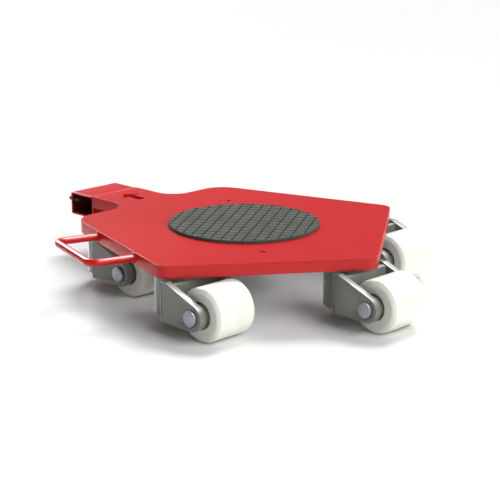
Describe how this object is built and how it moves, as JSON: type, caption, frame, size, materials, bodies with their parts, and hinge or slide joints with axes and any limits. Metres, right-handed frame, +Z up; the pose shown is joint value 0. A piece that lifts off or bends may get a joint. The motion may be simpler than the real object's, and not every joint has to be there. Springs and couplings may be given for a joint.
{
  "type": "machinery dolly",
  "caption": "Low pentagonal steel dolly with a round rubber load pad, swivelling nylon roller casters, a coupling tube on a tongue and a side carrying handle.",
  "frame": {"origin": "on the floor, at the middle of the dolly's footprint; the load pad's centre is 21.90 mm towards -X and 17.71 mm towards -Y of it", "axes": "+Z up; +X along the tongue towards the coupling tube, which is the towing direction; +Y towards the side that carries the handle"},
  "size_m": [0.7548, 0.5932, 0.1143],
  "materials": {
    "red_paint": "gloss red enamel over steel plate",
    "pad_rubber": "matt, moulded anti-slip pattern",
    "fork_steel": "satin gunmetal",
    "pin_steel": "bright zinc plated, satin",
    "bearing_steel": "oiled dark steel with black seal",
    "nylon": "semi-matt natural white nylon"
  },
  "bodies": {
    "deck": {"deck_plate": "red_paint", "load_pad": "pad_rubber", "coupling_tube": "red_paint", "carry_handle": "red_paint", "caster1_kingpin": "pin_steel", "caster1_thrust_bearing": "bearing_steel", "caster1_kingpin_nut": "pin_steel", "caster2_kingpin": "pin_steel", "caster2_thrust_bearing": "bearing_steel", "caster2_kingpin_nut": "pin_steel", "caster3_kingpin": "pin_steel", "caster3_thrust_bearing": "bearing_steel", "caster3_kingpin_nut": "pin_steel", "caster4_kingpin": "pin_steel", "caster4_thrust_bearing": "bearing_steel", "caster4_kingpin_nut": "pin_steel", "caster5_kingpin": "pin_steel", "caster5_thrust_bearing": "bearing_steel", "caster5_kingpin_nut": "pin_steel"},
    "caster1_fork": {"caster1_fork_hub": "fork_steel", "caster1_fork_plate_left": "fork_steel", "caster1_fork_plate_right": "fork_steel", "caster1_axle": "pin_steel"},
    "caster1_wheel": {"caster1_roller": "nylon", "caster1_bearing_left": "bearing_steel", "caster1_bearing_right": "bearing_steel"},
    "caster2_fork": {"caster2_fork_hub": "fork_steel", "caster2_fork_plate_left": "fork_steel", "caster2_fork_plate_right": "fork_steel", "caster2_axle": "pin_steel"},
    "caster2_wheel": {"caster2_roller": "nylon", "caster2_bearing_left": "bearing_steel", "caster2_bearing_right": "bearing_steel"},
    "caster3_fork": {"caster3_fork_hub": "fork_steel", "caster3_fork_plate_left": "fork_steel", "caster3_fork_plate_right": "fork_steel", "caster3_axle": "pin_steel"},
    "caster3_wheel": {"caster3_roller": "nylon", "caster3_bearing_left": "bearing_steel", "caster3_bearing_right": "bearing_steel"},
    "caster4_fork": {"caster4_fork_hub": "fork_steel", "caster4_fork_plate_left": "fork_steel", "caster4_fork_plate_right": "fork_steel", "caster4_axle": "pin_steel"},
    "caster4_wheel": {"caster4_roller": "nylon", "caster4_bearing_left": "bearing_steel", "caster4_bearing_right": "bearing_steel"},
    "caster5_fork": {"caster5_fork_hub": "fork_steel", "caster5_fork_plate_left": "fork_steel", "caster5_fork_plate_right": "fork_steel", "caster5_axle": "pin_steel"},
    "caster5_wheel": {"caster5_roller": "nylon", "caster5_bearing_left": "bearing_steel", "caster5_bearing_right": "bearing_steel"},
    "clamp_screw_left": {"clamp_screw_left": "pin_steel"},
    "clamp_screw_right": {"clamp_screw_right": "pin_steel"}
  },
  "joints": [
    {"name": "caster1_swivel", "type": "hinge", "parent": "deck", "child": "caster1_fork", "pos_m": [0.16175, 0.11572, 0.05], "axis": [0, 0, 1], "continuous": true},
    {"name": "caster1_roll", "type": "hinge", "parent": "caster1_fork", "child": "caster1_wheel", "pos_m": [0.07575, 0.11572, 0.0425], "axis": [0, 1, 0], "continuous": true},
    {"name": "caster2_swivel", "type": "hinge", "parent": "deck", "child": "caster2_fork", "pos_m": [-0.09205, 0.19818, 0.05], "axis": [0, 0, 1], "continuous": true},
    {"name": "caster2_roll", "type": "hinge", "parent": "caster2_fork", "child": "caster2_wheel", "pos_m": [-0.17805, 0.19818, 0.0425], "axis": [0, 1, 0], "continuous": true},
    {"name": "caster3_swivel", "type": "hinge", "parent": "deck", "child": "caster3_fork", "pos_m": [-0.2489, -0.01771, 0.05], "axis": [0, 0, 1], "continuous": true},
    {"name": "caster3_roll", "type": "hinge", "parent": "caster3_fork", "child": "caster3_wheel", "pos_m": [-0.3349, -0.01771, 0.0425], "axis": [0, 1, 0], "continuous": true},
    {"name": "caster4_swivel", "type": "hinge", "parent": "deck", "child": "caster4_fork", "pos_m": [-0.09205, -0.2336, 0.05], "axis": [0, 0, 1], "continuous": true},
    {"name": "caster4_roll", "type": "hinge", "parent": "caster4_fork", "child": "caster4_wheel", "pos_m": [-0.17805, -0.2336, 0.0425], "axis": [0, 1, 0], "continuous": true},
    {"name": "caster5_swivel", "type": "hinge", "parent": "deck", "child": "caster5_fork", "pos_m": [0.16175, -0.15114, 0.05], "axis": [0, 0, 1], "continuous": true},
    {"name": "caster5_roll", "type": "hinge", "parent": "caster5_fork", "child": "caster5_wheel", "pos_m": [0.07575, -0.15114, 0.0425], "axis": [0, 1, 0], "continuous": true},
    {"name": "clamp_screw_left_travel", "type": "slide", "parent": "deck", "child": "clamp_screw_left", "axis": [-1, 0, 0], "range_m": [-0.01, 0.01]},
    {"name": "clamp_screw_right_travel", "type": "slide", "parent": "deck", "child": "clamp_screw_right", "axis": [-1, 0, 0], "range_m": [-0.01, 0.01]}
  ]
}
